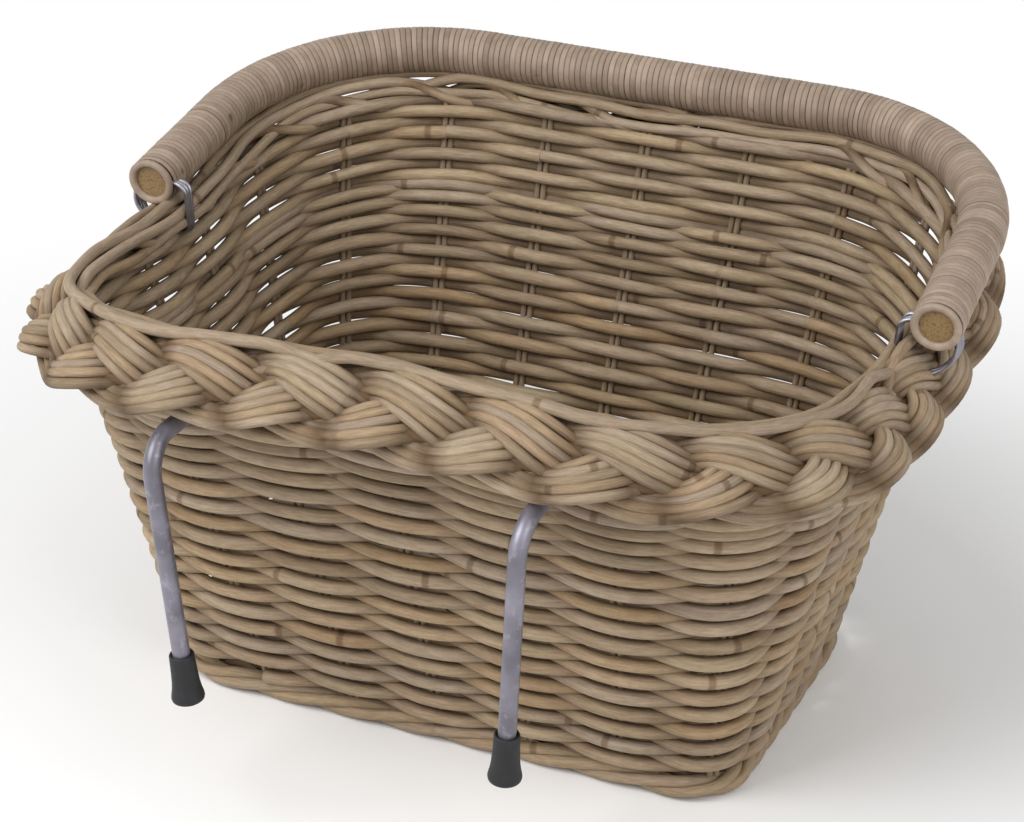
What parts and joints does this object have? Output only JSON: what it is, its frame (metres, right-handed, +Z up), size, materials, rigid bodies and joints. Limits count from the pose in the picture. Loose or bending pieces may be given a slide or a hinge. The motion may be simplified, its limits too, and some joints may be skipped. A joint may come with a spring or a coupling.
{
  "type": "bicycle basket",
  "caption": "Tapered woven rattan bicycle basket with a plaited rim, a bound carrying handle that swings over the opening, and two capped steel hooks for the handlebar.",
  "frame": {"origin": "centre of the base mat's underside, on the surface that the basket stands on", "axes": "+Z up; +X along the front, from the left hook to the right hook; +Y from the hooks to the back of the basket"},
  "size_m": [0.4332, 0.3971, 0.2564],
  "materials": {
    "rattan": "weathered grey-brown cane",
    "rattan_dark": "darker cane inside the weave",
    "peel": "smooth flat cane peel",
    "cane_core": "cut cane",
    "coated_steel": "satin lavender-grey coat",
    "wire": "bright wire",
    "rubber": "matt black"
  },
  "bodies": {
    "basket": {"base_mat": "rattan_dark", "base_hoop": "rattan", "stake_01": "rattan_dark", "stake_02": "rattan_dark", "stake_03": "rattan_dark", "stake_04": "rattan_dark", "stake_05": "rattan_dark", "stake_06": "rattan_dark", "stake_07": "rattan_dark", "stake_08": "rattan_dark", "stake_09": "rattan_dark", "stake_10": "rattan_dark", "stake_11": "rattan_dark", "stake_12": "rattan_dark", "stake_13": "rattan_dark", "stake_14": "rattan_dark", "stake_15": "rattan_dark", "stake_16": "rattan_dark", "stake_17": "rattan_dark", "stake_18": "rattan_dark", "stake_19": "rattan_dark", "stake_20": "rattan_dark", "stake_21": "rattan_dark", "stake_22": "rattan_dark", "weaver_a": "rattan", "weaver_b": "rattan", "row_ring_lower": "rattan", "row_front_1": "rattan", "row_back_1": "rattan", "row_front_2": "rattan", "row_back_2": "rattan", "row_ring_upper": "rattan", "rim_strand_1": "rattan", "rim_strand_2": "rattan", "rim_strand_3": "rattan", "hook_left": "coated_steel", "hook_right": "coated_steel", "hook_cap_left": "rubber", "hook_cap_right": "rubber", "wire_loop_left": "wire", "wire_loop_right": "wire"},
    "handle": {"handle_core": "cane_core", "handle_binding": "peel"}
  },
  "joints": [
    {"name": "handle_swing", "type": "hinge", "parent": "basket", "child": "handle", "pos_m": [0, 0, 0.22088], "axis": [1, 0, 0], "range_deg": [0, 164]}
  ]
}
